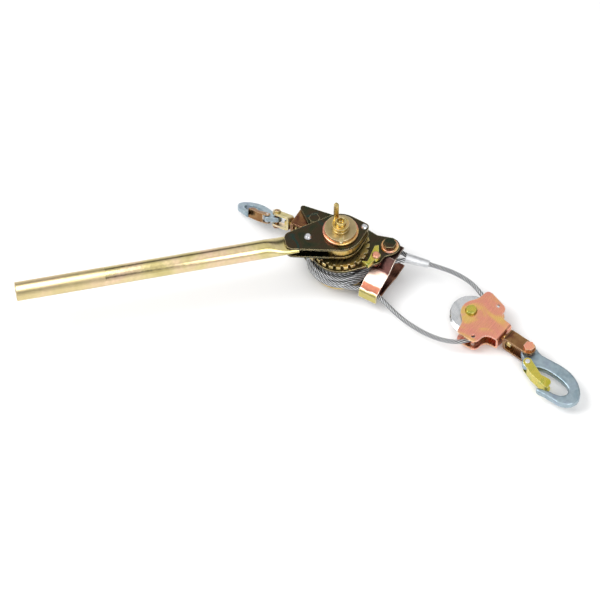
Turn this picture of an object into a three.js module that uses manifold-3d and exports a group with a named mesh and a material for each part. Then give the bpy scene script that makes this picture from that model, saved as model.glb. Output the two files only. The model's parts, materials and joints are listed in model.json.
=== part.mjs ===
// A hand-operated cable puller (come-along winch) with a fall block and two safety hooks.
// Millimetres, +Z up. The drum's axis is Z, and +X is the line of pull towards the front hook.
// The origin is the middle of the flat underside of the lower bearing cup.
import * as THREE from 'three';
import { mergeVertices } from 'three/addons/utils/BufferGeometryUtils.js';
import Module from 'manifold-3d';

const wasm = await Module();
wasm.setup();

// ---- driving dimensions --------------------------------------------------------------------
const GAP = 0.3;
const DEG = Math.PI / 180;
const ARC_STEP = 10 * DEG;
const ROPE_R = 3;

const PLATE = 4;
const LOWER_PLATE_Z = 8.5;
const UPPER_PLATE_Z = 53.5;
const UPPER_PLATE_TOP = UPPER_PLATE_Z + PLATE;
const LOWER_PLATE_TOP = LOWER_PLATE_Z + PLATE;

const SHAFT_R = 8;
const CUP_R = 27;
const DRUM_FLANGE_R = 36;
const BARREL_R = 28;
const DRUM_FLANGE = 3;
const DRUM_Z0 = LOWER_PLATE_TOP + 0.5;
const DRUM_Z1 = UPPER_PLATE_Z - 0.5;

const TEETH = 24;
const PITCH = 360 / TEETH;
const RATCHET_R = 37.5;
const RATCHET_ROOT = 34;
const RATCHET_Z0 = 58;
const RATCHET_Z1 = 64;

const LEVER_Z0 = 70.5;
const LEVER_PLATE = 3;
const HANDLE_Z0 = 74;
const HANDLE_Z1 = 86;
const LEVER_Z1 = 86.5;
const LEVER_TOP = LEVER_Z1 + LEVER_PLATE;
const HANDLE_Z = (HANDLE_Z0 + HANDLE_Z1) / 2;
const HANDLE_ANGLE = 221.8 * DEG;
const HANDLE_END = 415.5;
const HANDLE_R = 12.2;
const HANDLE_WALL = 2;
const HANDLE_PRESSED = 68;
const HANDLE_ROUND = 99;

const ANCHOR = [54, 32];
const PAWL_PIN = [48, 7];
const REAR_BOLT = [-49, 19];
const FEED_PIN = [-32, -27];
const NOSE_RIVET = [22, 22];
const STOP_PAWL_LIFT = 9 * DEG;
const FEED_PAWL_LIFT = 10 * DEG;

const SHEAVE = [183, 14, 19];
const BLOCK_YAW = -9 * DEG;
const SHEAVE_R = 27;
const GROOVE_ROOT = 21.3;
const BLOCK_HALF = 10;
const SHEET = 2.5;
const BLOCK_NOSE = 53;

const FRONT_SCALE = 0.95;
const FRONT_ROLL = 2 * DEG;
const FRONT_HOOK_SWING = -13 * DEG;
const REAR_SCALE = 0.66;
const REAR_BASE = [-77, 11, 39.2];
const REAR_AXIS = new THREE.Vector3(-0.93, 0.12, -0.33).normalize();
const REAR_ROLL = 26 * DEG;
const REAR_HOOK_SWING = 2 * DEG;

// ---- materials -----------------------------------------------------------------------------
const finish = (color, roughness = 0.35, metalness = 0.9) => () =>
  new THREE.MeshStandardMaterial({ color, roughness, metalness });
const goldZinc = finish(0xc9b47c);
const darkZinc = finish(0x4c4a34, 0.3);
const pinkZinc = finish(0xd98f6a, 0.3);
const brownZinc = finish(0x7a4a30, 0.35);
const yellowZinc = finish(0xc8bd4e, 0.3);
const clearZinc = finish(0xb9bdc2, 0.4);
const forged = finish(0x8fa3ad, 0.45);
const ropeSteel = finish(0xa3a7aa, 0.5);
const aluminium = finish(0xc4c7c9, 0.5);

// ---- solids --------------------------------------------------------------------------------
function solid(geometry) {
  const bare = geometry.index ? geometry.toNonIndexed() : geometry.clone();
  bare.deleteAttribute('normal');
  bare.deleteAttribute('uv');
  const merged = mergeVertices(bare, 1e-4);
  return new wasm.Manifold(new wasm.Mesh({
    numProp: 3,
    vertProperties: new Float32Array(merged.attributes.position.array),
    triVerts: new Uint32Array(merged.index.array),
  }));
}

function geometryOf(body) {
  const mesh = body.getMesh();
  const geometry = new THREE.BufferGeometry();
  geometry.setAttribute('position', new THREE.BufferAttribute(new Float32Array(mesh.vertProperties), 3));
  geometry.setIndex(new THREE.BufferAttribute(new Uint32Array(mesh.triVerts), 1));
  return geometry;
}

// A round bar standing on z0 with its axis along Z.
function bar(r, z0, z1, [x, y] = [0, 0], sides = 24, topR = r) {
  const geometry = new THREE.CylinderGeometry(topR, r, z1 - z0, sides);
  geometry.rotateX(Math.PI / 2);
  geometry.translate(x, y, (z0 + z1) / 2);
  return solid(geometry);
}

function hexagon(r, z0, z1, at) {
  return bar(r, z0, z1, at, 6);
}

function box(x0, x1, y0, y1, z0, z1) {
  const geometry = new THREE.BoxGeometry(x1 - x0, y1 - y0, z1 - z0);
  geometry.translate((x0 + x1) / 2, (y0 + y1) / 2, (z0 + z1) / 2);
  return solid(geometry);
}

// An outline in the XY plane, raised from z0 to z1.
function raise(shape, z0, z1, curveSegments = 8) {
  const geometry = new THREE.ExtrudeGeometry(shape, { depth: z1 - z0, bevelEnabled: false, curveSegments });
  geometry.translate(0, 0, z0);
  return solid(geometry);
}

function turned(profile, sides = 40) {
  const points = profile.map(([r, z]) => new THREE.Vector2(r, z));
  const geometry = new THREE.LatheGeometry(points, sides);
  geometry.rotateX(Math.PI / 2);
  return solid(geometry);
}

const join = (first, ...rest) => rest.reduce((sum, piece) => sum.add(piece), first);
const cut = (first, ...rest) => rest.reduce((sum, piece) => sum.subtract(piece), first);
const polygon = (points) => {
  const shape = new THREE.Shape();
  points.forEach(([x, y], i) => (i ? shape.lineTo(x, y) : shape.moveTo(x, y)));
  return shape;
};

// An outline that wraps a row of circles [x, y, r], listed anticlockwise, with straight sides.
function wrapped(circles) {
  const shape = new THREE.Shape();
  circles.forEach(([x, y, r], i) => {
    const before = circles[(i + circles.length - 1) % circles.length];
    const after = circles[(i + 1) % circles.length];
    const from = tangentAngle(before, [x, y, r]);
    const to = tangentAngle([x, y, r], after);
    const whole = THREE.MathUtils.euclideanModulo(to - from, 2 * Math.PI);
    const sweep = whole > 1.7 * Math.PI ? 0 : whole;
    const steps = Math.max(sweep ? 2 : 0, Math.ceil(sweep / (r > 15 ? ARC_STEP : 2 * ARC_STEP)));
    for (let k = 0; k <= steps; k += 1) {
      const angle = from + sweep * (k / Math.max(steps, 1));
      const method = i || k ? 'lineTo' : 'moveTo';
      shape[method](x + r * Math.cos(angle), y + r * Math.sin(angle));
    }
  });
  return shape;
}

function tangentAngle([x0, y0, r0], [x1, y1, r1]) {
  const along = Math.atan2(y1 - y0, x1 - x0);
  const lean = Math.asin((r0 - r1) / Math.hypot(x1 - x0, y1 - y0));
  return along - Math.PI / 2 + lean;
}

function mesh(name, body, material, parent = null) {
  const piece = new THREE.Mesh(geometryOf(body), material());
  piece.name = name;
  (parent ?? winch).add(piece);
  return piece;
}

// A round section swept along a smooth route.
function rope(points, steps) {
  const sides = 8;
  const section = new THREE.Shape();
  for (let i = 0; i < sides; i += 1) {
    const angle = (i * 2 * Math.PI) / sides;
    const method = i ? 'lineTo' : 'moveTo';
    section[method](ROPE_R * Math.cos(angle), ROPE_R * Math.sin(angle));
  }
  const route = new THREE.CatmullRomCurve3(points.map((p) => new THREE.Vector3(...p)), false, 'centripetal');
  return solid(new THREE.ExtrudeGeometry(section, { steps, extrudePath: route, bevelEnabled: false }));
}

const winch = new THREE.Group();

// ---- the frame: two side plates, the rear bridge and the rope guide ---------------------------
// Both plates have a lobe at the anchor bolt and an arm at the rear bolt. The lower one is slimmer.
const UPPER_OUTLINE = [
  [0, 0, 39.5], [47.5, 6.5, 8.5], [56.5, 15, 0.5], [...ANCHOR, 13.5], [33, 38.5, 0.8], [0, 0, 43], [-71, 29.3, 3.8],
  [-46, 14, 7],
];
const LOWER_OUTLINE = [
  [0, 0, 31], [47, 10, 8], [...ANCHOR, 12.5], [0, 0, 33], [-69, 25, 4.5], [-70, 6, 3],
];

function framePlate(circles, z) {
  return cut(
    raise(wrapped(circles), z, z + PLATE),
    bar(SHAFT_R + GAP, z - 1, z + PLATE + 1),
    bar(5.3, z - 1, z + PLATE + 1, ANCHOR, 16),
    bar(4.3, z - 1, z + PLATE + 1, REAR_BOLT, 16),
  );
}

function rearBridge() {
  const wallX = -71;
  const z0 = LOWER_PLATE_TOP + GAP;
  const z1 = UPPER_PLATE_Z - GAP;
  const wall = box(wallX - 3.5, wallX, 2, 27, z0, z1);
  const top = box(wallX - 1, -42, 4, 27, z1 - 3.5, z1);
  const bottom = box(wallX - 1, -42, 4, 27, z0, z0 + 3.5);
  const studHole = new THREE.CylinderGeometry(5, 5, 20, 20);
  studHole.rotateZ(Math.PI / 2);
  studHole.translate(wallX - 1.75, REAR_BASE[1], REAR_BASE[2] + 1);
  return cut(join(wall, top, bottom), bar(4.3, z0 - 1, z1 + 1, REAR_BOLT, 16), solid(studHole));
}

// A folded strip: its edge view in the YZ plane, drawn along its middle line, extruded along X.
function foldedStrip(line, thickness, x0, x1) {
  const left = [];
  const right = [];
  line.forEach(([y, z], i) => {
    const [py, pz] = line[Math.max(i - 1, 0)];
    const [ny, nz] = line[Math.min(i + 1, line.length - 1)];
    const a = Math.atan2(z - pz, y - py);
    const b = Math.atan2(nz - z, ny - y);
    const first = i === 0 ? b : a;
    const second = i === line.length - 1 ? a : b;
    const middle = Math.atan2(Math.sin(first) + Math.sin(second), Math.cos(first) + Math.cos(second));
    const turn = Math.atan2(Math.sin(second - first), Math.cos(second - first));
    const reach = thickness / 2 / Math.cos(turn / 2);
    left.push([y - Math.sin(middle) * reach, z + Math.cos(middle) * reach]);
    right.unshift([y + Math.sin(middle) * reach, z - Math.cos(middle) * reach]);
  });
  const geometry = new THREE.ExtrudeGeometry(polygon([...left, ...right]), { depth: x1 - x0, bevelEnabled: false });
  geometry.applyMatrix4(new THREE.Matrix4().set(0, 0, 1, x0, 1, 0, 0, 0, 0, 1, 0, 0, 0, 0, 0, 1));
  return solid(geometry);
}

function guideUpper() {
  const z = UPPER_PLATE_Z - GAP - SHEET / 2;
  const line = [
    [42, z], [19.5, z], [16, z - 2], [4, 42.5], [0, 40.9], [-19, 37], [-24, 33.4], [-28, 31.8], [-30, 29.4],
    [-30.4, 19],
  ];
  return cut(foldedStrip(line, SHEET, 45, 70), bar(5.3, 45, 56, ANCHOR, 16), bar(5.6, 44, 54, PAWL_PIN, 20));
}

function guideLower() {
  const z = LOWER_PLATE_TOP + GAP + SHEET / 2;
  const line = [[42, z], [19.5, z], [16, z + 1.6], [4, 19], [-4, 21], [-19, 22.4]];
  return cut(foldedStrip(line, SHEET, 46, 72), bar(5.3, 8, 20, ANCHOR, 16));
}

const pawlPinHole = bar(3.8, UPPER_PLATE_Z - 1, UPPER_PLATE_TOP + 1, PAWL_PIN, 16);
mesh('frame_upper_plate', cut(framePlate(UPPER_OUTLINE, UPPER_PLATE_Z), pawlPinHole), darkZinc);
mesh('frame_lower_plate', framePlate(LOWER_OUTLINE, LOWER_PLATE_Z), darkZinc);
mesh('rear_bridge', rearBridge(), brownZinc);
mesh('rope_guide_upper', guideUpper(), pinkZinc);
mesh('rope_guide_lower', guideLower(), brownZinc);
mesh('lower_bearing_cup', cut(bar(CUP_R, 0, LOWER_PLATE_Z - GAP, [0, 0], 36, CUP_R - 2),
  bar(SHAFT_R + GAP, 3, 20)), goldZinc);

function boltWithHead(at, r, headR, z0, z1, head) {
  return join(bar(r, z0, z1 + 1, at, 16), hexagon(headR, z1, z1 + head, at));
}

const WASHER_TOP = UPPER_PLATE_TOP + GAP + 2;
const washer = bar(11.8, UPPER_PLATE_TOP + GAP, WASHER_TOP, ANCHOR, 28, 10.4);
mesh('anchor_washer', cut(washer, bar(5.3, 50, 70, ANCHOR, 16)), pinkZinc);
mesh('anchor_bolt', boltWithHead(ANCHOR, 5, 9, 0.5, WASHER_TOP + GAP, 5), darkZinc);
mesh('anchor_nut', cut(hexagon(8.6, 1, LOWER_PLATE_Z - GAP, ANCHOR), bar(5.05, 0, 9, ANCHOR, 16)), goldZinc);
mesh('rope_anchor_bush', cut(
  bar(8, LOWER_PLATE_TOP + SHEET + 2 * GAP, UPPER_PLATE_Z - SHEET - 2 * GAP, ANCHOR),
  bar(5.1, 10, 55, ANCHOR, 16),
), clearZinc);
mesh('rear_bolt', boltWithHead(REAR_BOLT, 4, 7.5, 0.8, UPPER_PLATE_TOP + GAP, 5), darkZinc);
mesh('rear_nut', cut(hexagon(7.5, 1.5, LOWER_PLATE_Z - GAP, REAR_BOLT), bar(4.05, 0, 9, REAR_BOLT, 16)), goldZinc);

mesh('stop_pawl_pin', join(
  bar(5.5, UPPER_PLATE_TOP + 7.1, UPPER_PLATE_TOP + 9, PAWL_PIN, 20, 4),
  bar(3.5, 47, UPPER_PLATE_TOP + 7.5, PAWL_PIN, 16),
  bar(5, 46, UPPER_PLATE_Z - SHEET - GAP - 0.4, PAWL_PIN, 20),
), pinkZinc);

// ---- the drum and all that turns with it -------------------------------------------------------
const drumProfile = [
  [SHAFT_R + 0.1, DRUM_Z0],
  [DRUM_FLANGE_R, DRUM_Z0],
  [DRUM_FLANGE_R, DRUM_Z0 + DRUM_FLANGE],
  [BARREL_R, DRUM_Z0 + DRUM_FLANGE],
  [BARREL_R, DRUM_Z1 - DRUM_FLANGE],
  [DRUM_FLANGE_R, DRUM_Z1 - DRUM_FLANGE],
  [DRUM_FLANGE_R, DRUM_Z1],
  [SHAFT_R + 0.1, DRUM_Z1],
  [SHAFT_R + 0.1, DRUM_Z0],
];
mesh('drum', turned(drumProfile, 36), goldZinc);

const coilZ0 = DRUM_Z0 + DRUM_FLANGE + GAP;
const coilZ1 = DRUM_Z1 - DRUM_FLANGE - GAP;
const coilProfile = [
  [BARREL_R + GAP, coilZ0], [39.5, coilZ0], [42.4, coilZ0 + 3], [43, coilZ0 + 9], [41.6, coilZ0 + 18],
  [38, coilZ1 - 5], [35, coilZ1], [BARREL_R + GAP, coilZ1], [BARREL_R + GAP, coilZ0],
];
mesh('rope_coil', turned(coilProfile, 32), ropeSteel);

const shaftProfile = [
  [0, 3.3], [SHAFT_R, 3.3], [SHAFT_R, 99], [11.5, 99], [11.5, 102], [7, 102.5], [7, 112.5], [5.8, 114],
  [4.2, 114], [4.2, 107], [0, 107],
];
mesh('drum_shaft', turned(shaftProfile, 20), yellowZinc);

function ratchetOutline() {
  const shape = new THREE.Shape();
  const at = (r, degrees) => [r * Math.cos(degrees * DEG), r * Math.sin(degrees * DEG)];
  for (let i = 0; i < TEETH; i += 1) {
    const start = i * PITCH;
    const corners = [[RATCHET_ROOT, start], [RATCHET_ROOT, start + 3.6], [RATCHET_R, start + 6.6]];
    corners.push([RATCHET_R, start + 10.8], [RATCHET_R, start + PITCH]);
    corners.forEach(([r, degrees], k) => {
      const method = i || k ? 'lineTo' : 'moveTo';
      shape[method](...at(r, degrees));
    });
  }
  return shape;
}

mesh('ratchet_wheel', cut(raise(ratchetOutline(), RATCHET_Z0, RATCHET_Z1), bar(SHAFT_R + 0.1, 50, 70)), goldZinc);
const collar = bar(17, RATCHET_Z1 + GAP, LEVER_Z0 - GAP, [0, 0], 32);
mesh('spacer_collar', cut(collar, bar(SHAFT_R + 0.1, 60, 75)), goldZinc);

function rewindCrank() {
  const ring = cut(bar(11.2, 103, 108, [0, 0], 28), bar(7.15, 100, 111));
  const arm = bar(3.4, 103.2, 132, [-10.4, 7], 14);
  const tip = bar(3.4, 131.5, 135, [-10.4, 7], 14, 1.8);
  return cut(join(ring, arm, tip), bar(7.15, 100, 111));
}
mesh('rewind_crank', rewindCrank(), goldZinc);

// ---- the lever: two plates, a hub ring and the handle -------------------------------------------
const along = (s, across = 0) => [
  s * Math.cos(HANDLE_ANGLE) - across * Math.sin(HANDLE_ANGLE),
  s * Math.sin(HANDLE_ANGLE) + across * Math.cos(HANDLE_ANGLE),
];

function leverPlate(z) {
  const outline = wrapped([
    [0, 0, 28.5],
    [...NOSE_RIVET, 6],
    [0, 0, 28.5],
    [...along(62.5, -4.5), 9],
    [...along(62.5, 4.5), 9],
  ]);
  return cut(
    raise(outline, z, z + LEVER_PLATE),
    bar(SHAFT_R + GAP, z - 1, z + 5),
    bar(3.3, z - 1, z + 5, FEED_PIN, 16),
    bar(2.8, z - 1, z + 5, NOSE_RIVET, 16),
  );
}

function hubRing() {
  const outer = raise(wrapped([[0, 0, 26.5], [...NOSE_RIVET, 5]]), HANDLE_Z0, HANDLE_Z1, 14);
  return cut(outer, bar(SHAFT_R + 0.1, 70, 90), bar(2.8, 70, 90, NOSE_RIVET, 16),
    bar(7.2, 70, 90, FEED_PIN, 20));
}

// The tube is round at the grip and pressed flat where it goes between the plates.
function handleTube() {
  const start = 35;
  const tube = (r) => {
    const rings = [start, HANDLE_PRESSED, 74, 80, 86, 92, HANDLE_ROUND, HANDLE_END];
    const profile = [[0, start], ...rings.map((s) => [r, s]), [0, HANDLE_END]];
    const geometry = new THREE.LatheGeometry(profile.map(([x, y]) => new THREE.Vector2(x, y)), 24);
    const place = geometry.attributes.position;
    for (let i = 0; i < place.count; i += 1) {
      const s = place.getY(i);
      const blend = THREE.MathUtils.smoothstep(s, HANDLE_PRESSED, HANDLE_ROUND);
      place.setX(i, place.getX(i) * THREE.MathUtils.lerp(1.12, 1, blend));
      place.setZ(i, place.getZ(i) * THREE.MathUtils.lerp(5.9 / HANDLE_R, 1, blend));
    }
    geometry.rotateZ(-Math.PI / 2);
    geometry.translate(0, 0, HANDLE_Z);
    geometry.rotateZ(HANDLE_ANGLE);
    return geometry;
  };
  const boreStart = 100;
  const boreLength = HANDLE_END + 5 - boreStart;
  const bore = new THREE.CylinderGeometry(HANDLE_R - HANDLE_WALL, HANDLE_R - HANDLE_WALL, boreLength, 24);
  bore.rotateZ(-Math.PI / 2);
  bore.translate(boreStart + boreLength / 2, 0, HANDLE_Z);
  bore.rotateZ(HANDLE_ANGLE);
  return cut(solid(tube(HANDLE_R)), solid(bore), bar(27, 70, 90, [0, 0], 40), bar(7.2, 70, 90, FEED_PIN, 20));
}

function rivet(at, r, z0, z1, headR, head) {
  return join(bar(r, z0, z1, at, 14), bar(headR, z1 - 0.1, z1 + head, at, 18, headR * 0.6),
    bar(headR * 0.75, z0 - head, z0 + 0.1, at, 18, headR));
}

mesh('lever_upper_plate', leverPlate(LEVER_Z1), darkZinc);
mesh('lever_lower_plate', leverPlate(LEVER_Z0), darkZinc);
mesh('lever_hub_ring', hubRing(), goldZinc);
mesh('handle_tube', handleTube(), goldZinc);
mesh('lever_nose_rivet', rivet(NOSE_RIVET, 2.6, LEVER_Z0 - GAP, LEVER_TOP + GAP, 4.4, 2), clearZinc);
mesh('feed_pawl_pin', join(
  bar(3, RATCHET_Z0 - 0.2, LEVER_TOP + 1, FEED_PIN, 16),
  bar(5, LEVER_TOP + GAP, LEVER_TOP + 2.8, FEED_PIN, 18, 3.2),
), clearZinc);
mesh('feed_pawl_spacer', cut(bar(6.6, HANDLE_Z0 + 0.1, HANDLE_Z1 - 0.1, FEED_PIN, 20),
  bar(3.1, 70, 90, FEED_PIN, 16)), goldZinc);

// ---- the pawls, drawn in mesh with the ratchet and then lifted clear about their pins --------------
function lifted(body, [x, y], angle) {
  const geometry = geometryOf(body);
  geometry.translate(-x, -y, 0);
  geometry.rotateZ(angle);
  geometry.translate(x, y, 0);
  return solid(geometry);
}

function stopPawl() {
  const nose = (r, degrees) => [r * Math.cos(degrees * DEG), r * Math.sin(degrees * DEG)];
  const arm = polygon([
    nose(35.4, -13), nose(35.4, -12), nose(41.5, -8), [41.5, 0], [41.5, 20], [46, 23], [51, 10], [50, 2],
    nose(46, -14.5),
  ]);
  const z0 = UPPER_PLATE_TOP + GAP;
  const body = join(raise(arm, z0, z0 + 6), bar(6, z0, z0 + 6, PAWL_PIN, 20));
  return lifted(cut(body, bar(3.6, 50, 70, PAWL_PIN, 16)), PAWL_PIN, STOP_PAWL_LIFT);
}

function feedPawl() {
  const nose = (r, degrees) => [r * Math.cos(degrees * DEG), r * Math.sin(degrees * DEG)];
  const noseArm = polygon([
    nose(35.4, 195.5), [-28.5, -25.5], [-34, -33], [-38, -26], nose(44, 203), nose(43, 196.5),
  ]);
  const thumb = polygon([[-34, -32.5], [-20.5, -40], [-18.6, -35.5], [-24.5, -31.6], [-30, -22.2]]);
  const z0 = RATCHET_Z0 + 0.3;
  const z1 = LEVER_Z0 - GAP;
  const ring = bar(6, z0, z1, FEED_PIN, 20);
  const body = cut(join(raise(noseArm, z0, z0 + 6), raise(thumb, z0, z1 - 1), ring), bar(40.4, 50, 75, [0, 0], 48));
  const tooth = raise(polygon([
    nose(35.4, 195.6), nose(35.4, 197.2), nose(40.5, 202), nose(41, 196),
  ].reverse()), z0, z0 + 6);
  return lifted(cut(join(body, tooth), bar(3.1, 50, 75, FEED_PIN, 16)), FEED_PIN, FEED_PAWL_LIFT);
}

mesh('stop_pawl', stopPawl(), yellowZinc);
mesh('feed_pawl', feedPawl(), goldZinc);

// ---- the release knob on top of the lever -----------------------------------------------------------
const knobProfile = [
  [SHAFT_R + GAP, LEVER_TOP + 0.5], [23, LEVER_TOP + 0.5], [23, LEVER_TOP + 3.6], [22, LEVER_TOP + 4.5],
  [SHAFT_R + GAP, LEVER_TOP + 4.5], [SHAFT_R + GAP, LEVER_TOP + 0.5],
];
const discProfile = [
  [SHAFT_R + GAP, LEVER_TOP + 4.8], [20.5, LEVER_TOP + 4.8], [20.5, 98], [19.9, 98.6], [SHAFT_R + GAP, 98.6],
  [SHAFT_R + GAP, LEVER_TOP + 4.8],
];
const tabAt = [10, -16.5];
mesh('release_ring', turned(knobProfile, 32), pinkZinc);
const tabSlot = raise(wrapped([[...tabAt, 2.9], [tabAt[0] * 1.3, tabAt[1] * 1.3, 2.9]]), 96, 100, 6);
mesh('release_disc', cut(turned(discProfile, 32), tabSlot), goldZinc);
const tabOutline = wrapped([[...tabAt, 2.6], [tabAt[0] * 1.12, tabAt[1] * 1.12, 2.6]]);
mesh('release_tab', raise(tabOutline, 96.3, 100.5, 6), clearZinc);

// ---- the wire rope ------------------------------------------------------------------------------------
const eyeZ = 39;
const eyeR = 8 + ROPE_R + GAP;
const ferruleStart = new THREE.Vector3(75.5, 38.2, eyeZ);
const ferruleEnd = new THREE.Vector3(105, 44.9, 37.4);
const ferruleWay = ferruleEnd.clone().sub(ferruleStart).normalize();

// The eye goes round the anchor bush and both its legs enter the ferrule side by side.
function ropeEye() {
  const points = [];
  const heading = Math.atan2(ferruleWay.y, ferruleWay.x);
  const side = new THREE.Vector3(-Math.sin(heading), Math.cos(heading), 0).multiplyScalar(ROPE_R + 0.25);
  const leg = (sign) => ferruleStart.clone().addScaledVector(side, sign).addScaledVector(ferruleWay, -1.4);
  points.push(leg(1).toArray());
  for (let degrees = 62; degrees <= 298; degrees += 29.5) {
    const angle = heading + degrees * DEG;
    points.push([ANCHOR[0] + eyeR * Math.cos(angle), ANCHOR[1] + eyeR * Math.sin(angle), eyeZ]);
  }
  points.push(leg(-1).toArray());
  return rope(points, 22);
}

function ferrule() {
  const length = ferruleStart.distanceTo(ferruleEnd);
  const geometry = new THREE.CylinderGeometry(5.4, 7, length, 20, 1);
  geometry.scale(1, 1, 0.78);
  geometry.rotateZ(-Math.PI / 2);
  geometry.translate(length / 2, 0, 0);
  const turn = new THREE.Quaternion().setFromUnitVectors(new THREE.Vector3(1, 0, 0), ferruleWay);
  geometry.applyQuaternion(turn);
  geometry.translate(...ferruleStart.toArray());
  return solid(geometry);
}

mesh('rope_eye', ropeEye(), ropeSteel);
mesh('rope_ferrule', ferrule(), aluminium);

const upperFall = [
  ferruleEnd.clone().addScaledVector(ferruleWay, GAP).toArray(), [119.7, 48.8, 35], [134, 52.3, 32], [148, 54, 28.6],
  [162, 53.6, 25], [175.5, 49.8, 21.6], [185.5, 44.6, 19.8], [192, 39.8, 19.1], [196.4, 35.8, 19],
];
const lowerFall = [
  [37, -28.4, 27.4], [45, -25.2, 27.4], [58, -24.8, 27.3], [71, -25.2, 26.8], [84, -28.8, 25.4], [101, -34, 23.6],
  [119, -38, 22], [146, -40.2, 20.6], [170, -37.4, 19.6], [188, -29.8, 19.1], [200, -18.5, 19], [206, -8, 19],
];
mesh('rope_upper_fall', rope(upperFall, 20), ropeSteel);
mesh('rope_lower_fall', rope(lowerFall, 30), ropeSteel);

const sheaveTurn = [
  [206.4, -7, 19], [208.2, -1, 19], [208.8, 6.5, 19], [208.1, 14.5, 19], [205.8, 23, 19], [201.8, 30.4, 19],
  [197.2, 35.1, 19],
];
mesh('rope_sheave_turn', rope(sheaveTurn, 10), ropeSteel);

// ---- the fall block -------------------------------------------------------------------------------------
const block = new THREE.Group();
block.position.set(SHEAVE[0], SHEAVE[1], SHEAVE[2]);
block.rotation.z = BLOCK_YAW;
winch.add(block);

function blockFrame() {
  const plan = new THREE.Shape();
  plan.moveTo(60, -14);
  plan.lineTo(60, 14);
  plan.lineTo(42, 15.5);
  plan.quadraticCurveTo(33, 17, 33.5, 25);
  plan.quadraticCurveTo(33, 31, 26, 33);
  plan.lineTo(6, 38);
  plan.quadraticCurveTo(-2, 39.5, -3, 32.5);
  plan.quadraticCurveTo(-3, 22, -8, 15);
  plan.quadraticCurveTo(-14, 8, -13, -1);
  plan.quadraticCurveTo(-12, -9, -5, -14);
  plan.quadraticCurveTo(3, -20, 3, -30);
  plan.quadraticCurveTo(3.5, -36.5, 10, -37);
  plan.lineTo(28, -35.5);
  plan.quadraticCurveTo(34, -34, 34, -27);
  plan.quadraticCurveTo(34, -17.5, 43, -15.5);
  plan.closePath();
  const outer = wrapped([[BLOCK_NOSE - 4, -(BLOCK_HALF - 4), 4], [BLOCK_NOSE - 4, BLOCK_HALF - 4, 4],
    [-30, BLOCK_HALF - 0.1, 0.1], [-30, -(BLOCK_HALF - 0.1), 0.1]]);
  const inner = wrapped([[BLOCK_NOSE - 4, -(BLOCK_HALF - 4), 4 - SHEET], [BLOCK_NOSE - 4, BLOCK_HALF - 4, 4 - SHEET],
    [-40, BLOCK_HALF - SHEET - 0.1, 0.1], [-40, -(BLOCK_HALF - SHEET - 0.1), 0.1]]);
  const upright = (shape, half) => {
    const geometry = new THREE.ExtrudeGeometry(shape, { depth: 2 * half, bevelEnabled: false, curveSegments: 5 });
    geometry.translate(0, 0, -half);
    geometry.rotateX(Math.PI / 2);
    return solid(geometry);
  };
  const channel = cut(upright(outer, 45), upright(inner, 50));
  const studHole = new THREE.CylinderGeometry(5.3, 5.3, 20, 20);
  studHole.rotateZ(Math.PI / 2);
  studHole.translate(BLOCK_NOSE, 0, 0);
  return cut(
    channel.intersect(raise(plan, -20, 20, 5)),
    bar(6.1, -20, 20, [0, 0], 20),
    bar(2.6, -20, 20, [22, 27], 12),
    bar(2.6, -20, 20, [25, -29], 12),
    solid(studHole),
  );
}

const halfSheave = 5.2;
const sheaveProfile = [
  [9.1, -halfSheave], [SHEAVE_R - 1, -halfSheave], [SHEAVE_R, -4.4], [GROOVE_ROOT, -1.6], [GROOVE_ROOT, 1.6],
  [SHEAVE_R, 4.4], [SHEAVE_R - 1, halfSheave], [9.1, halfSheave], [9.1, -halfSheave],
];
mesh('block_frame', blockFrame(), pinkZinc, block);
mesh('sheave', turned(sheaveProfile, 32), clearZinc, block);
mesh('sheave_bush', cut(bar(9, -6.6, 6.6, [0, 0], 24), bar(6.1, -8, 8, [0, 0], 20)), goldZinc, block);
const pinHead = bar(8, BLOCK_HALF + GAP, 14, [0, 0], 24, 6.6);
mesh('sheave_pin', join(bar(6, -14.5, 12, [0, 0], 20), pinHead), yellowZinc, block);
mesh('sheave_pin_nut', cut(hexagon(9.4, -15.6, -BLOCK_HALF - GAP), bar(6.05, -20, 0, [0, 0], 20)), goldZinc, block);

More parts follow.
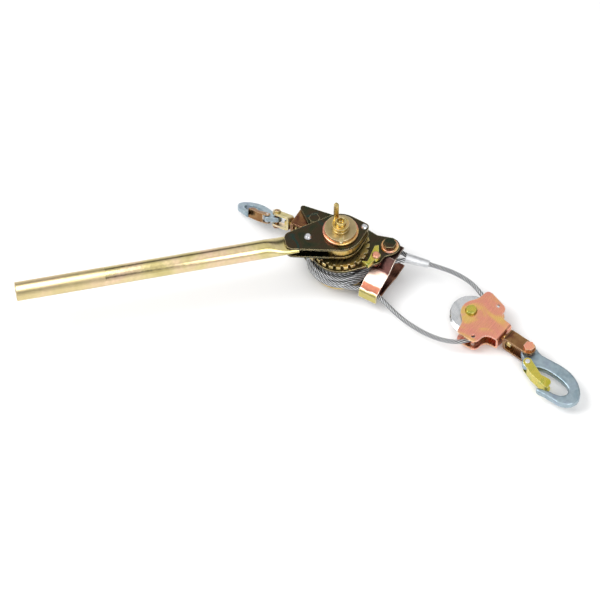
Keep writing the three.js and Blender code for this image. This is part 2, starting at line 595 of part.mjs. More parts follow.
// ---- a hook set: swivel stud, clevis yoke, clevis bolt and nut, hook, latch, latch pin --------------------
// Its own frame has +X along the line of pull, Z along the clevis bolt, and its origin on the stud's axis
// at the outer face of the plate that the stud goes through.
function hookSet(prefix, size, swing, studHeadR, studLength, colours) {
  const set = new THREE.Group();
  const yoke0 = 3;
  const yokeWall = 4.4;
  const boltX = 40;
  const legHalf = 8.8;
  const reach = 13.5;
  const leg = 3.8;
  const hookHalf = 5;
  const alongX = (r, x0, x1, sides = 20) => {
    const geometry = new THREE.CylinderGeometry(r, r, x1 - x0, sides);
    geometry.rotateZ(-Math.PI / 2);
    geometry.translate((x0 + x1) / 2, 0, 0);
    return solid(geometry);
  };
  const scaled = (body) => body.scale([size, size, size]);
  const put = (name, body, material, parent = set) => mesh(`${prefix}_${name}`, scaled(body), material, parent);

  const headEnd = -studLength / size;
  const stud = join(alongX(4.6, headEnd - 3, 15), alongX(studHeadR, headEnd - 3.5, headEnd),
    alongX(7.4, yoke0 + yokeWall + GAP, 14.5, 6));
  put('swivel_stud', stud, goldZinc);

  const strap = new THREE.Shape();
  strap.moveTo(boltX + 12, -reach);
  strap.lineTo(boltX + 12, reach);
  strap.lineTo(yoke0 + 6, reach);
  strap.quadraticCurveTo(yoke0, reach, yoke0, reach - 6);
  strap.lineTo(yoke0, -reach + 6);
  strap.quadraticCurveTo(yoke0, -reach, yoke0 + 6, -reach);
  strap.closePath();
  const slot = new THREE.Path();
  const inside = reach - leg;
  const wall = yoke0 + yokeWall;
  slot.moveTo(boltX + 11.5, -inside);
  slot.lineTo(wall + 3, -inside);
  slot.quadraticCurveTo(wall, -inside, wall, -inside + 3);
  slot.lineTo(wall, inside - 3);
  slot.quadraticCurveTo(wall, inside, wall + 3, inside);
  slot.lineTo(boltX + 11.5, inside);
  slot.closePath();
  strap.holes.push(slot);
  const side = new THREE.ExtrudeGeometry(strap, { depth: 2 * legHalf, bevelEnabled: false, curveSegments: 5 });
  side.translate(0, 0, -legHalf);
  side.rotateX(Math.PI / 2);
  const legPlan = wrapped([[boltX, 0, legHalf], [yoke0, legHalf - 1, 1], [yoke0, 1 - legHalf, 1]]);
  const yoke = cut(solid(side).intersect(raise(legPlan, -20, 20, 10)), bar(5.1, -20, 20, [boltX, 0], 18),
    alongX(4.9, 0, 12));
  put('yoke', yoke, colours.yoke);

  const boltAt = [boltX, 0];
  put('yoke_bolt', join(bar(4.8, -17.8, 14, boltAt, 18), hexagon(7.6, reach + GAP, 18.6, boltAt)), colours.bolt);
  put('yoke_nut', cut(hexagon(7.6, -17.3, -reach - GAP, boltAt), bar(4.9, -20, 0, boltAt, 18)), goldZinc);

  const hookGroup = new THREE.Group();
  hookGroup.position.set(boltX * size, 0, 0);
  hookGroup.rotation.z = swing;
  set.add(hookGroup);
  put('hook', forgedHook(hookHalf), forged, hookGroup);
  put('latch', safetyLatch(hookHalf), colours.latch, hookGroup);
  put('latch_pin', join(bar(2.2, -9.6, 9.6, [13, -13.5], 12), bar(3.4, 9.3, 10.6, [13, -13.5], 14)),
    clearZinc, hookGroup);
  put('latch_spring', cut(bar(4.6, hookHalf + 0.3, 7.3, [13, -13.5], 18), bar(2.6, 0, 10, [13, -13.5], 14)),
    clearZinc, hookGroup);
  return set;
}

// The outline is in the plane of the hook: the eye is at the origin and the bowl lies along +X.
function forgedHook(half) {
  const outer = [[-6, 9.2], [4, 10.4], [14, 9.2], [27, 13.4], [46, 19.6], [62, 21.4], [78, 18.6], [92, 10.5], [98, 0],
    [95.5, -12], [86, -20.5], [76, -23.6], [64, -27], [54, -31]];
  const inner = [[49.5, -30.6], [50.5, -27], [60, -20.6], [70, -16.4], [77.5, -12], [81, -5], [78.5, 1.6], [70, 4.6],
    [54, 3.4], [38, -0.4], [26, -7], [19.5, -14.5], [14.5, -20], [8, -18.8], [2, -13], [-4, -10]];
  const curve = (points) => new THREE.SplineCurve(points.map(([x, y]) => new THREE.Vector2(x, y)));
  const outline = [...curve(outer).getPoints(24), ...curve(inner).getPoints(26)];
  const shape = new THREE.Shape(outline);
  const body = raise(shape, -half, half);
  return cut(join(body, bar(10.6, -half, half, [0, 0], 28)), bar(5.1, -20, 20, [0, 0], 18),
    bar(2.4, -20, 20, [13, -13.5], 12));
}

function safetyLatch(half) {
  const clear = half + 2.5;
  const wing = 1.6;
  const plan = wrapped([[13, -13.5, 6], [30, -19, 3], [57, -18.5, 2.2], [52, -14.5, 6], [40, -14.5, 2]]);
  const shell = raise(plan, -clear - wing, clear + wing, 6);
  const hollow = join(
    box(-10, 40, -19.4, 20, -clear, clear),
    box(39, 80, -19.2, 20, -clear, clear),
    bar(9.6, -clear, clear, [13, -13.5], 24),
  );
  return cut(shell, hollow, bar(2.35, -20, 20, [13, -13.5], 12));
}

const frontFinish = { yoke: brownZinc, bolt: pinkZinc, latch: yellowZinc };
const front = hookSet('front', FRONT_SCALE, FRONT_HOOK_SWING, 7, 3.2, frontFinish);
front.position.set(BLOCK_NOSE + GAP, 0, 0);
front.rotation.x = FRONT_ROLL;
block.add(front);

const rearFinish = { yoke: goldZinc, bolt: brownZinc, latch: brownZinc };
const rear = hookSet('rear', REAR_SCALE, REAR_HOOK_SWING, 8.6, 9.6, rearFinish);
const rearX = REAR_AXIS.clone();
const rearZ = new THREE.Vector3(0, -Math.sin(REAR_ROLL), -Math.cos(REAR_ROLL));
rearZ.addScaledVector(rearX, -rearZ.dot(rearX)).normalize();
const rearY = rearZ.clone().cross(rearX);
rear.quaternion.setFromRotationMatrix(new THREE.Matrix4().makeBasis(rearX, rearY, rearZ));
rear.position.set(...REAR_BASE);
winch.add(rear);

export default winch;
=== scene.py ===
"""Looks of a come-along winch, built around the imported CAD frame. Blender 4.5, metres."""
import json
import math

import bmesh
import bpy
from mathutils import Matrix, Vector


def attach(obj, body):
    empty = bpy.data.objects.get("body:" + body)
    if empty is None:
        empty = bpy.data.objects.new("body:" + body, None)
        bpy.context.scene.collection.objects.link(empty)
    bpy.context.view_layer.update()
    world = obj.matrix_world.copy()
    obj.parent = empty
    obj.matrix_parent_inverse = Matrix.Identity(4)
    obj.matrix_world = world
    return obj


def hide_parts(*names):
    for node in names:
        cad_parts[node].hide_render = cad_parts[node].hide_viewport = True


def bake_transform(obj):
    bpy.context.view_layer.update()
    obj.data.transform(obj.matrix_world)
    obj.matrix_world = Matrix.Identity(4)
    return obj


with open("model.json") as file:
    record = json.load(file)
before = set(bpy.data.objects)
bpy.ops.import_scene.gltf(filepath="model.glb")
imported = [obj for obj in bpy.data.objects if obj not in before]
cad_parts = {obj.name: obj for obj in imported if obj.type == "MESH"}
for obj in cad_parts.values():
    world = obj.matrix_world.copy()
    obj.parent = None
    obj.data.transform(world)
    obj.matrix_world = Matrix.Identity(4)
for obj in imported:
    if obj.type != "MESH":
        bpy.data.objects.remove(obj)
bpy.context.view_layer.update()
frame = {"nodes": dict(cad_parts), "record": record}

MM = 0.001

# ---- camera: the puller seen from above, the pull line running away to the right ---------------
AZIMUTH = math.radians(30)
ELEVATION = math.radians(56)
VIEW_WIDTH = 0.768
LENS = 180.0
SENSOR = 36.0
LOOK_AT = Vector((-0.0226, -0.0632, 0.0))


def make_camera():
    data = bpy.data.cameras.new("camera")
    data.lens = LENS
    data.sensor_width = SENSOR
    data.clip_end = 50
    camera = bpy.data.objects.new("camera", data)
    bpy.context.scene.collection.objects.link(camera)
    back = Vector((
        math.sin(AZIMUTH) * math.cos(ELEVATION),
        -math.cos(AZIMUTH) * math.cos(ELEVATION),
        math.sin(ELEVATION),
    ))
    camera.location = LOOK_AT + back * (VIEW_WIDTH * LENS / SENSOR)
    camera.rotation_euler = (-back).to_track_quat("-Z", "Y").to_euler()
    bpy.context.scene.camera = camera


make_camera()


# ---- nodes and materials -------------------------------------------------------------------------
EDGE_HIGHLIGHT_R = 0.0011
PLATING_RELIEF = 0.000012


class Nodes:
    """A material's node tree, with a short way to add and link nodes."""

    def __init__(self, name):
        self.material = bpy.data.materials.new(name)
        self.material.use_nodes = True
        self.tree = self.material.node_tree
        self.shader = self.tree.nodes["Principled BSDF"]
        self.coords = self.tree.nodes.new("ShaderNodeTexCoord").outputs["Object"]

    def add(self, kind, inputs=None, **settings):
        node = self.tree.nodes.new(kind)
        for key, value in settings.items():
            setattr(node, key, value)
        for key, value in (inputs or {}).items():
            if isinstance(value, bpy.types.NodeSocket):
                self.tree.links.new(value, node.inputs[key])
            else:
                node.inputs[key].default_value = value
        return node

    def noise(self, scale, detail=3.0, stretch=(1, 1, 1), distortion=0.0):
        mapped = self.add("ShaderNodeMapping", {"Vector": self.coords, "Scale": stretch})
        inputs = {
            "Vector": mapped.outputs[0], "Scale": scale, "Detail": detail, "Distortion": distortion,
        }
        return self.add("ShaderNodeTexNoise", inputs).outputs["Fac"]

    def ramp(self, factor, stops):
        node = self.add("ShaderNodeValToRGB", {"Fac": factor})
        band = node.color_ramp
        while len(band.elements) < len(stops):
            band.elements.new(0.5)
        for element, (place, colour) in zip(band.elements, stops):
            element.position = place
            element.color = (*colour, 1)
        return node.outputs["Color"]

    def spread(self, factor, low, high):
        inputs = {"Value": factor, "From Min": 0.3, "From Max": 0.7, "To Min": low, "To Max": high}
        return self.add("ShaderNodeMapRange", inputs).outputs[0]

    def mix(self, factor, a, b):
        return self.add("ShaderNodeMix", {0: factor, 6: a, 7: b}, data_type="RGBA").outputs[2]

    def math(self, operation, a, b):
        return self.add("ShaderNodeMath", {0: a, 1: b}, operation=operation).outputs[0]

    def edges(self):
        """1 along sharp edges, 0 on flat ground: the mask for the painted highlight along edges."""
        rounded = self.add("ShaderNodeBevel", {"Radius": EDGE_HIGHLIGHT_R}, samples=4).outputs[0]
        flat = self.add("ShaderNodeNewGeometry").outputs["Normal"]
        dot = self.add("ShaderNodeVectorMath", {0: rounded, 1: flat}, operation="DOT_PRODUCT")
        facing = dot.outputs["Value"]
        inputs = {"Value": facing, "From Min": 0.995, "From Max": 0.85, "To Min": 0.0, "To Max": 1.0}
        return self.add("ShaderNodeMapRange", inputs).outputs[0]

    def surface(self, colour, roughness, bump, bump_height):
        """Bare metal with this colour and roughness, and fine relief bump_height deep."""
        self.tree.links.new(colour, self.shader.inputs["Base Color"])
        self.tree.links.new(roughness, self.shader.inputs["Roughness"])
        self.shader.inputs["Metallic"].default_value = 1.0
        node = self.add("ShaderNodeBump", {"Height": bump, "Distance": bump_height, "Strength": 1.0})
        self.tree.links.new(node.outputs[0], self.shader.inputs["Normal"])
        return self.material


def plated(name, stops, edge_highlight, rough=(0.2, 0.36), cloud=38.0, spot=0.12):
    """Zinc plating: clouds of interference colour, faint stains, fine rolling marks, and a painted
    highlight along the edges.
    """
    n = Nodes(name)
    clouds = n.noise(cloud, 3.0, distortion=1.2)
    colour = n.ramp(clouds, stops)
    stains = n.spread(n.noise(170.0, 5.0), 0.0, spot)
    colour = n.mix(stains, colour, (0.10, 0.075, 0.04, 1))
    # Painted highlight: the edge colour laid along the sharp edges.
    colour = n.mix(n.edges(), colour, (*edge_highlight, 1))
    marks = n.noise(420.0, 4.0, stretch=(1.0, 0.12, 1.0))
    roughness = n.spread(marks, *rough)
    return n.surface(colour, roughness, n.noise(900.0, 3.0), PLATING_RELIEF)


# Each finish's colours, placed along the range of its noise.
GOLD = [
    (0.34, (0.40, 0.29, 0.09)), (0.47, (0.55, 0.42, 0.14)), (0.56, (0.62, 0.46, 0.17)),
    (0.68, (0.66, 0.42, 0.20)),
]
PALE_GOLD = [(0.34, (0.55, 0.47, 0.19)), (0.5, (0.70, 0.59, 0.31)), (0.68, (0.78, 0.58, 0.40))]
DARK = [
    (0.33, (0.030, 0.042, 0.026)), (0.46, (0.052, 0.048, 0.026)), (0.56, (0.062, 0.042, 0.026)),
    (0.68, (0.024, 0.058, 0.048)),
]
PINK = [
    (0.33, (0.84, 0.33, 0.25)), (0.44, (0.86, 0.38, 0.24)), (0.53, (0.88, 0.50, 0.19)),
    (0.63, (0.84, 0.58, 0.18)), (0.7, (0.86, 0.40, 0.33)),
]
BROWN = [
    (0.33, (0.13, 0.045, 0.028)), (0.48, (0.25, 0.12, 0.05)), (0.6, (0.32, 0.18, 0.075)),
    (0.7, (0.15, 0.05, 0.045)),
]
YELLOW = [(0.34, (0.50, 0.46, 0.05)), (0.5, (0.66, 0.55, 0.10)), (0.66, (0.38, 0.44, 0.08))]
CLEAR = [(0.34, (0.58, 0.60, 0.62)), (0.5, (0.72, 0.73, 0.74)), (0.66, (0.66, 0.68, 0.72))]
FORGED = [(0.34, (0.27, 0.37, 0.43)), (0.5, (0.40, 0.50, 0.55)), (0.66, (0.33, 0.40, 0.50))]
KNOB = [(0.34, (0.42, 0.34, 0.17)), (0.5, (0.50, 0.40, 0.21)), (0.66, (0.52, 0.40, 0.22))]
MAROON = [(0.34, (0.10, 0.035, 0.028)), (0.5, (0.17, 0.07, 0.045)), (0.66, (0.12, 0.05, 0.055))]


def forged_steel():
    n = Nodes("forged_steel")
    colour = n.ramp(n.noise(45.0, 4.0, distortion=0.8), FORGED)
    colour = n.mix(n.spread(n.noise(260.0, 6.0), 0.0, 0.3), colour, (0.16, 0.19, 0.21, 1))
    roughness = n.spread(n.noise(300.0, 5.0), 0.3, 0.5)
    return n.surface(colour, roughness, n.noise(380.0, 6.0), 0.00006)


# From the model's origin, in metres.
GRIP_FROM = 0.3145
GRIP_FADE = 0.002


def handle_gold():
    """Pale gold along the tube, duller and paler past GRIP_FROM, where the hand goes."""
    n = Nodes("handle_gold")
    colour = n.ramp(n.noise(16.0, 3.0, distortion=1.0), PALE_GOLD)
    colour = n.mix(n.spread(n.noise(210.0, 6.0), 0.0, 0.22), colour, (0.30, 0.24, 0.09, 1))
    distance = n.add("ShaderNodeVectorMath", {0: n.coords}, operation="LENGTH").outputs["Value"]
    inputs = {"Value": distance, "From Min": GRIP_FROM, "From Max": GRIP_FROM + GRIP_FADE}
    worn = n.add("ShaderNodeMapRange", inputs).outputs[0]
    colour = n.mix(n.math("MULTIPLY", worn, 0.5), colour, (0.66, 0.53, 0.30, 1))
    rough = n.math("ADD", n.spread(n.noise(300.0, 5.0), 0.16, 0.26), n.math("MULTIPLY", worn, 0.16))
    return n.surface(colour, rough, n.noise(650.0, 4.0), 0.00003)


def wire():
    """Bright strands with painted shade in the grooves between them, and fine wires across each strand."""
    n = Nodes("wire")
    crest = n.add("ShaderNodeAttribute", attribute_name="crest").outputs["Fac"]
    bright = n.ramp(n.noise(900.0, 3.0), [(0.34, (0.55, 0.56, 0.57)), (0.62, (0.86, 0.87, 0.88))])
    # Painted shade: near black where the skin lies far from a strand's crest.
    colour = n.mix(n.math("POWER", crest, 2.2), (0.02, 0.02, 0.022, 1), bright)
    return n.surface(colour, n.spread(n.noise(900.0, 2.0), 0.3, 0.48), n.noise(2600.0, 2.0), 0.0001)


def guide_painted_bands():
    """The rope guide, with its light and shade painted in bands across it: khaki lip with a painted
    highlight on its edge, red-brown dip, pink flat brightened by a painted highlight, and a painted dark
    reflection next to the frame plate.
    """
    n = Nodes("guide_painted_bands")
    across = n.add("ShaderNodeSeparateXYZ", {0: n.coords}).outputs["Y"]
    inputs = {"Value": across, "From Min": -0.034, "From Max": 0.022}
    place = n.add("ShaderNodeMapRange", inputs).outputs[0]
    wander = n.math("MULTIPLY", n.math("SUBTRACT", n.noise(120.0, 3.0), 0.5), 0.07)
    # Painted light in the bands: the pale stripe near 0.105 is a painted edge highlight, the bright pink
    # from 0.29 to 0.59 a painted highlight, the near black from 0.64 a painted dark reflection.
    colour = n.ramp(n.math("ADD", place, wander), [
        (0.0, (0.50, 0.44, 0.14)), (0.08, (0.58, 0.50, 0.17)), (0.105, (0.92, 0.80, 0.62)),
        (0.13, (0.22, 0.08, 0.05)), (0.25, (0.26, 0.10, 0.06)), (0.29, (0.92, 0.60, 0.50)),
        (0.42, (0.95, 0.74, 0.64)), (0.59, (0.92, 0.62, 0.52)), (0.64, (0.07, 0.03, 0.026)),
        (1.0, (0.05, 0.028, 0.024)),
    ])
    # Painted highlight along the guide's sharp edges.
    colour = n.mix(n.edges(), colour, (0.94, 0.82, 0.68, 1))
    return n.surface(colour, n.spread(n.noise(420.0, 4.0), 0.3, 0.44), n.noise(900.0, 3.0), PLATING_RELIEF)


def pressed_aluminium():
    n = Nodes("pressed_aluminium")
    colour = n.ramp(n.noise(120.0, 4.0), [(0.34, (0.60, 0.61, 0.63)), (0.66, (0.78, 0.79, 0.80))])
    return n.surface(colour, n.spread(n.noise(500.0, 4.0), 0.34, 0.55), n.noise(700.0, 4.0), 0.00004)


MATERIALS = {
    # The third colour of each plated finish is the painted highlight on its edges.
    "gold": plated("gold_zinc_look", GOLD, (0.86, 0.78, 0.58)),
    "dark": plated("dark_zinc_look", DARK, (0.88, 0.72, 0.40), rough=(0.22, 0.38)),
    "pink": plated("pink_zinc_look", PINK, (0.94, 0.82, 0.68), cloud=26.0, spot=0.05),
    "brown": plated("brown_zinc_look", BROWN, (0.80, 0.52, 0.26)),
    "maroon": plated("maroon_zinc_look", MAROON, (0.78, 0.46, 0.22)),
    "yellow": plated("yellow_zinc_look", YELLOW, (0.92, 0.86, 0.40)),
    "clear": plated("clear_zinc_look", CLEAR, (0.9, 0.9, 0.92), spot=0.06),
    "knob": plated("knob_look", KNOB, (0.88, 0.70, 0.46), rough=(0.34, 0.46), spot=0.2),
    "cream": plated("cream_look", PALE_GOLD, (0.92, 0.88, 0.74), rough=(0.3, 0.42)),
    "guide": guide_painted_bands(),
    "forged": forged_steel(),
    "handle": handle_gold(),
    "wire": wire(),
    "alu": pressed_aluminium(),
}

LOOKS = {
    "gold": ["lower_bearing_cup", "anchor_nut", "rear_nut", "drum", "ratchet_wheel", "spacer_collar",
             "rewind_crank", "lever_hub_ring", "feed_pawl_spacer", "sheave_bush", "sheave_pin_nut",
             "front_yoke_nut", "rear_yoke_nut", "front_swivel_stud", "rear_swivel_stud", "drum_shaft"],
    "dark": ["frame_upper_plate", "frame_lower_plate", "lever_upper_plate", "lever_lower_plate",
             "rear_bolt", "anchor_bolt"],
    "guide": ["rope_guide_upper"],
    "pink": ["release_ring", "anchor_washer", "block_frame", "stop_pawl_pin", "front_yoke_bolt"],
    "brown": ["rear_bridge", "front_yoke", "rear_yoke_bolt", "rear_latch"],
    "maroon": ["rope_guide_lower"],
    "yellow": ["stop_pawl", "sheave_pin", "front_latch"],
    "clear": ["rope_anchor_bush", "lever_nose_rivet", "feed_pawl_pin", "sheave", "front_latch_pin",
              "rear_latch_pin", "front_latch_spring", "rear_latch_spring"],
    "knob": ["release_disc", "feed_pawl"],
    "cream": ["rear_yoke", "release_tab"],
    "alu": ["rope_ferrule"],
}
BODY_OF = {node: body for body, nodes in frame["record"]["behaviour"]["bodies"].items() for node in nodes}


def finished(name, mesh, body, look, replaced=()):
    """Put a new piece in the scene, on its body, with its finish."""
    piece = bpy.data.objects.new(name, mesh)
    bpy.context.scene.collection.objects.link(piece)
    mesh.materials.clear()
    mesh.materials.append(MATERIALS[look])
    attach(piece, body)
    if replaced:
        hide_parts(*replaced)
    return piece


def apply_modifiers(piece):
    bpy.context.view_layer.update()
    graph = bpy.context.evaluated_depsgraph_get()
    mesh = bpy.data.meshes.new_from_object(piece.evaluated_get(graph))
    piece.modifiers.clear()
    piece.data = mesh


def smooth(mesh, angle=38):
    mesh.polygons.foreach_set("use_smooth", [True] * len(mesh.polygons))
    mesh.set_sharp_from_angle(angle=math.radians(angle))
    mesh.update()


def clean_copy(node):
    """A node's mesh with its flat faces whole again."""
    mesh = frame["nodes"][node].data.copy()
    work = bmesh.new()
    work.from_mesh(mesh)
    bmesh.ops.remove_doubles(work, verts=work.verts, dist=1e-6)
    bmesh.ops.dissolve_limit(work, angle_limit=math.radians(1.0), verts=work.verts, edges=work.edges)
    work.to_mesh(mesh)
    work.free()
    return mesh


def eased(node, look, width):
    """The node's own shape with its sharp edges rounded off."""
    piece = finished(f"{node}_look", clean_copy(node), BODY_OF[node], look, [node])
    bevel = piece.modifiers.new("edges", "BEVEL")
    bevel.width = width
    bevel.segments = 2
    bevel.limit_method = "ANGLE"
    bevel.angle_limit = math.radians(32)
    bevel.miter_outer = "MITER_ARC"
    smooth(piece.data)
    bevel.harden_normals = True
    apply_modifiers(piece)


# Millimetres; PLAIN_EDGE is for the nodes that aren't named here.
EDGE_WIDTH = {
    "frame_upper_plate": 0.7, "frame_lower_plate": 0.7, "lever_upper_plate": 0.7, "lever_lower_plate": 0.7,
    "block_frame": 0.6, "front_yoke": 0.9, "rear_yoke": 0.7, "release_ring": 0.7, "release_disc": 0.5,
    "rope_guide_upper": 0.6, "rope_guide_lower": 0.6, "rewind_crank": 0.9, "drum_shaft": 0.6,
    "feed_pawl": 0.8, "stop_pawl": 0.8, "anchor_bolt": 0.7, "front_yoke_bolt": 0.7,
    "rear_yoke_bolt": 0.5, "lower_bearing_cup": 0.8, "release_tab": 0.6, "front_latch": 0.4,
    "rear_latch": 0.3,
}
PLAIN_EDGE = 0.35
for look, nodes in LOOKS.items():
    for node in nodes:
        eased(node, look, EDGE_WIDTH.get(node, PLAIN_EDGE) * MM)


# ---- forged hooks: rounded all over, like metal pressed hot in a die ------------------------------
def forged_hook(node, voxel, rounds):
    piece = finished(f"{node}_look", clean_copy(node), BODY_OF[node], "forged", [node])
    remesh = piece.modifiers.new("remesh", "REMESH")
    remesh.mode = "VOXEL"
    remesh.voxel_size = voxel
    soften = piece.modifiers.new("soften", "SMOOTH")
    soften.factor = 0.5
    soften.iterations = rounds
    apply_modifiers(piece)
    smooth(piece.data, 80)


forged_hook("front_hook", 0.7 * MM, 22)
forged_hook("rear_hook", 0.6 * MM, 14)

# ---- the handle: a round tube, pressed flat where the lever plates hold it --------------------------
HANDLE_ANGLE = math.radians(221.8)
HANDLE_R = 12.2 * MM
HANDLE_Z = 80 * MM
HANDLE_END = 415.5 * MM
PRESSED_AT = 68 * MM
ROUND_AT = 99 * MM
WALL = 2 * MM
LIP = 0.9 * MM
LIP_BEND = 0.25 * MM
TUCKED_IN = 12 * MM
BORE_DEPTH = 12 * MM
HANDLE_SIDES = 64
PRESSED_TALL = 5.9 / 12.2
PRESSED_WIDE = 1.12


def handle_ring(s, r):
    """The tube's outline at s from the drum's axis: an oval where it is pressed, then round."""
    t = min(max((s - PRESSED_AT) / (ROUND_AT - PRESSED_AT), 0), 1)
    t = t * t * (3 - 2 * t)
    wide = r * (PRESSED_WIDE + (1 - PRESSED_WIDE) * t)
    tall = r * (PRESSED_TALL + (1 - PRESSED_TALL) * t)
    cos, sin = math.cos(HANDLE_ANGLE), math.sin(HANDLE_ANGLE)
    ring = []
    for i in range(HANDLE_SIDES):
        a = 2 * math.pi * i / HANDLE_SIDES
        across, up = wide * math.cos(a), tall * math.sin(a)
        ring.append((s * cos - across * sin, s * sin + across * cos, HANDLE_Z + up))
    return ring


def handle():
    sides = HANDLE_SIDES
    stations = [(PRESSED_AT - TUCKED_IN, HANDLE_R)]
    stations += [(PRESSED_AT + i * 2.5 * MM, HANDLE_R) for i in range(14)]
    stations += [(ROUND_AT + 5 * MM, HANDLE_R), (HANDLE_END - LIP, HANDLE_R)]
    stations += [(HANDLE_END - LIP_BEND, HANDLE_R - LIP_BEND), (HANDLE_END, HANDLE_R - LIP)]
    stations += [(HANDLE_END, HANDLE_R - WALL), (HANDLE_END - BORE_DEPTH, HANDLE_R - WALL)]
    verts = [v for s, r in stations for v in handle_ring(s, r)]
    faces = []
    for k in range(len(stations) - 1):
        for i in range(sides):
            j = (i + 1) % sides
            faces.append((k * sides + i, k * sides + j, (k + 1) * sides + j, (k + 1) * sides + i))
    faces.append(tuple(reversed(range(sides))))
    last = (len(stations) - 1) * sides
    faces.append(tuple(last + i for i in range(sides)))
    mesh = bpy.data.meshes.new("handle")
    mesh.from_pydata(verts, [], faces)
    mesh.update()
    smooth(mesh, 50)
    finished("handle_tube_look", mesh, "lever", "handle", ["handle_tube"])


handle()

# ---- the wire rope: one skin shaped like six strands laid together --------------------------------
ROPE_R = 3 * MM
STRANDS = 6
LAY = 33 * MM
GROOVE = 0.7
STRAND_POINTS = (0.0, 0.25, 0.5, 0.75)


def through(points, spacing):
    """Evenly spaced places on a smooth curve through the points."""
    fine = []
    ends = [points[0] * 2 - points[1], *points, points[-1] * 2 - points[-2]]
    for p0, p1, p2, p3 in zip(ends, ends[1:], ends[2:], ends[3:]):
        t1 = (p1 - p0).length ** 0.5
        t2 = t1 + (p2 - p1).length ** 0.5
        t3 = t2 + (p3 - p2).length ** 0.5
        for i in range(24):
            t = t1 + (t2 - t1) * i / 24
            a1 = p0 * ((t1 - t) / t1) + p1 * (t / t1)
            a2 = p1 * ((t2 - t) / (t2 - t1)) + p2 * ((t - t1) / (t2 - t1))
            a3 = p2 * ((t3 - t) / (t3 - t2)) + p3 * ((t - t2) / (t3 - t2))
            b1 = a1 * ((t2 - t) / t2) + a2 * (t / t2)
            b2 = a2 * ((t3 - t) / (t3 - t1)) + a3 * ((t - t1) / (t3 - t1))
            fine.append(b1 * ((t2 - t) / (t2 - t1)) + b2 * ((t - t1) / (t2 - t1)))
    fine.append(points[-1])
    reach = [0.0]
    for a, b in zip(fine, fine[1:]):
        reach.append(reach[-1] + (b - a).length)
    count = max(2, round(reach[-1] / spacing))
    places = []
    k = 0
    for i in range(count + 1):
        goal = reach[-1] * i / count
        while k < len(fine) - 2 and reach[k + 1] < goal:
            k += 1
        share = (goal - reach[k]) / max(reach[k + 1] - reach[k], 1e-9)
        places.append(fine[k].lerp(fine[k + 1], min(max(share, 0), 1)))
    return places


def rope_mesh(name, places):
    """One skin over six round strands that twist round the places' line, with their crests marked."""
    after = places[1:] + places[-1:]
    before = places[:1] + places[:-1]
    ahead = [(b - a).normalized() for a, b in zip(before, after)]
    side = ahead[0].orthogonal().normalized()
    verts, crests = [], []
    count = STRANDS * len(STRAND_POINTS)
    walked = 0.0
    for i, (place, way) in enumerate(zip(places, ahead)):
        if i:
            walked += (place - places[i - 1]).length
        side = (side - way * side.dot(way)).normalized()
        other = way.cross(side)
        for k in range(count):
            share = STRAND_POINTS[k % len(STRAND_POINTS)]
            crest = math.sin(math.pi * share)
            angle = 2 * math.pi * (k / count + walked / LAY)
            outward = side * math.cos(angle) + other * math.sin(angle)
            verts.append(place + outward * ROPE_R * (GROOVE + (1 - GROOVE) * crest ** 0.6))
            crests.append(crest)
    faces = []
    for r in range(len(places) - 1):
        base = r * count
        faces += [(base + k, base + (k + 1) % count, base + count + (k + 1) % count, base + count + k)
                  for k in range(count)]
    faces.append(tuple(reversed(range(count))))
    faces.append(tuple((len(places) - 1) * count + k for k in range(count)))
    mesh = bpy.data.meshes.new(name)
    mesh.from_pydata(verts, [], faces)
    mesh.attributes.new("crest", "FLOAT", "POINT").data.foreach_set("value", crests)
    smooth(mesh, 80)
    return mesh


def points_mm(rows):
    return [Vector(row) * MM for row in rows]


# From the drum through the guide, round the sheave and back to the ferrule.
OFF_THE_DRUM = [(14.9, -37.2, 28), (26, -32.8, 27.6)]
LOWER_FALL = [
    (37, -28.4, 27.4), (45, -25.2, 27.4), (58, -24.8, 27.3), (71, -25.2, 26.8), (84, -28.8, 25.4),
    (101, -34, 23.6), (119, -38, 22), (146, -40.2, 20.6), (170, -37.4, 19.6), (188, -29.8, 19.1),
    (200, -18.5, 19),
]
SHEAVE_TURN = [
    (206.4, -7, 19), (208.2, -1, 19), (208.8, 6.5, 19), (208.1, 14.5, 19), (205.8, 23, 19),
    (201.8, 30.4, 19),
]
UPPER_FALL = [
    (196.6, 35.6, 19), (192, 39.8, 19.1), (185.5, 44.6, 19.8), (175.5, 49.8, 21.6), (162, 53.6, 25),
    (148, 54, 28.6), (134, 52.3, 32), (119.7, 48.8, 35), (103.5, 44.6, 37.5),
]
SPACING = 1.6 * MM
route = through(points_mm(OFF_THE_DRUM + LOWER_FALL + SHEAVE_TURN + UPPER_FALL), SPACING)
rope = bpy.data.objects.new("rope_falls", rope_mesh("rope_falls", route))
bpy.context.scene.collection.objects.link(rope)
rope.data.materials.append(MATERIALS["wire"])
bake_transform(rope)
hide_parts("rope_upper_fall", "rope_lower_fall", "rope_sheave_turn")

# The eye round the anchor bush, spliced into the ferrule.
EYE_MIDDLE = (54, 32)
EYE_R = 11.3
EYE_Z = 39
FERRULE_NEAR = (75.5, 38.2)
FERRULE_FAR = (105, 44.9)
EYE_HEADING = math.atan2(FERRULE_FAR[1] - FERRULE_NEAR[1], FERRULE_FAR[0] - FERRULE_NEAR[0])
EYE_ENDS = (77.5, 38.7)
EYE_END_OFFSET = 3.1
EYE_FIRST = 62
EYE_STEP = 29.5


def eye_points():
    side = (-math.sin(EYE_HEADING) * EYE_END_OFFSET, math.cos(EYE_HEADING) * EYE_END_OFFSET)
    rows = [(EYE_ENDS[0] + side[0], EYE_ENDS[1] + side[1], EYE_Z)]
    for i in range(9):
        angle = EYE_HEADING + math.radians(EYE_FIRST + EYE_STEP * i)
        x = EYE_MIDDLE[0] + EYE_R * math.cos(angle)
        y = EYE_MIDDLE[1] + EYE_R * math.sin(angle)
        rows.append((x, y, EYE_Z))
    rows.append((EYE_ENDS[0] - side[0], EYE_ENDS[1] - side[1], EYE_Z))
    return points_mm(rows)


eye_mesh = rope_mesh("rope_eye", through(eye_points(), SPACING))
eye = finished("rope_eye_look", eye_mesh, "frame", "wire", ["rope_eye"])

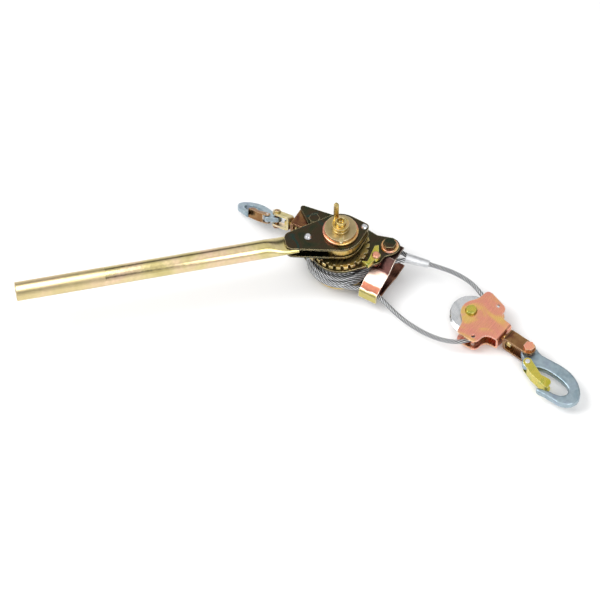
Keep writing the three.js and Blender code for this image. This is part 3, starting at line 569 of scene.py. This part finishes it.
# Two layers on the drum, the outer one laid loosely. Millimetres, and degrees in LAST_PLACE.
COIL_INNER_R = 31.4
COIL_OUTER_R = 37.9
COIL_LOW = 19.6
COIL_HIGH = 46.4
COIL_PITCH = 6.25
COIL_STEPS = 24
OUTER_TURNS = 4.1
OUTER_DROP = 1.5
OUTER_DIP = 7
LOOSE = 0.7
LAST_PLACE = (-68.2, 28)
LAST_R = 40.1


def coil_points():
    rows = []
    turns = (COIL_HIGH - COIL_LOW) / COIL_PITCH
    for i in range(int(turns * COIL_STEPS)):
        angle = math.radians(LAST_PLACE[0]) + 2 * math.pi * i / COIL_STEPS
        rows.append((COIL_INNER_R, angle, COIL_LOW + COIL_PITCH * i / COIL_STEPS))
    start = rows[-1]
    steps = int(OUTER_TURNS * COIL_STEPS)
    end_angle = math.radians(LAST_PLACE[0]) + 2 * math.pi * (math.ceil(start[1] / (2 * math.pi)) + 4)
    for i in range(1, steps + 1):
        t = i / steps
        angle = start[1] + (end_angle - start[1]) * t
        loose = LOOSE * math.sin(5.1 * t * math.pi + 0.6) * math.sin(angle * 2 + 1)
        z = COIL_HIGH - OUTER_DROP + (LAST_PLACE[1] - COIL_HIGH + OUTER_DROP) * t
        z -= OUTER_DIP * math.sin(math.pi * t) ** 2
        out = COIL_OUTER_R + (LAST_R - COIL_OUTER_R) * t
        rows.append((out + 0.35 * loose * (1 - t), angle, z + 1.5 * loose * (1 - t)))
    return [Vector((r * math.cos(a), r * math.sin(a), z)) * MM for r, a, z in rows]


COIL_SPACING = 2 * MM
coil_mesh = rope_mesh("rope_coil", through(coil_points(), COIL_SPACING))
finished("rope_coil_look", coil_mesh, "drum", "wire", ["rope_coil"])


# ---- floor and light ------------------------------------------------------------------------------------
FLOOR_HALF = 6.0
FLOOR_DROP = 0.0005


def floor():
    mesh = bpy.data.meshes.new("floor")
    corners = [(-1, -1), (1, -1), (1, 1), (-1, 1)]
    mesh.from_pydata([(FLOOR_HALF * x, FLOOR_HALF * y, 0) for x, y in corners], [], [(0, 1, 2, 3)])
    plane = bpy.data.objects.new("floor", mesh)
    bpy.context.scene.collection.objects.link(plane)
    plane.location.z = -FLOOR_DROP
    material = bpy.data.materials.new("floor")
    material.use_nodes = True
    shader = material.node_tree.nodes["Principled BSDF"]
    shader.inputs["Base Color"].default_value = (0.93, 0.93, 0.93, 1)
    shader.inputs["Roughness"].default_value = 0.9
    mesh.materials.append(material)


def area_light(name, place, size, power):
    """A rectangular light that faces the drum's foot."""
    data = bpy.data.lights.new(name, "AREA")
    data.shape = "RECTANGLE"
    data.size, data.size_y = size
    data.energy = power
    lamp = bpy.data.objects.new(name, data)
    bpy.context.scene.collection.objects.link(lamp)
    lamp.location = place
    lamp.rotation_euler = (-Vector(place)).to_track_quat("-Z", "Y").to_euler()


def studio():
    """A bright room with a dark band round the horizon, which gives the metal its contrast."""
    world = bpy.data.worlds.new("studio")
    bpy.context.scene.world = world
    world.use_nodes = True
    tree = world.node_tree
    coords = tree.nodes.new("ShaderNodeTexCoord")
    split = tree.nodes.new("ShaderNodeSeparateXYZ")
    ramp = tree.nodes.new("ShaderNodeValToRGB")
    stops = [(0.0, 0.85), (0.34, 0.75), (0.44, 0.10), (0.66, 0.07), (0.76, 0.75), (1.0, 1.0)]
    while len(ramp.color_ramp.elements) < len(stops):
        ramp.color_ramp.elements.new(0.5)
    for element, (place, grey) in zip(ramp.color_ramp.elements, stops):
        element.position = place
        element.color = (grey, grey, grey, 1)
    tree.links.new(coords.outputs["Generated"], split.inputs[0])
    tree.links.new(split.outputs["Z"], ramp.inputs["Fac"])
    tree.links.new(ramp.outputs["Color"], tree.nodes["Background"].inputs["Color"])
    tree.nodes["Background"].inputs["Strength"].default_value = 1.1


floor()
studio()
area_light("key", (-0.9, -0.7, 1.7), (1.2, 1.2), 27)
area_light("fill", (1.2, -0.9, 1.3), (1.0, 1.0), 14)
bpy.context.scene.view_settings.view_transform = "Standard"
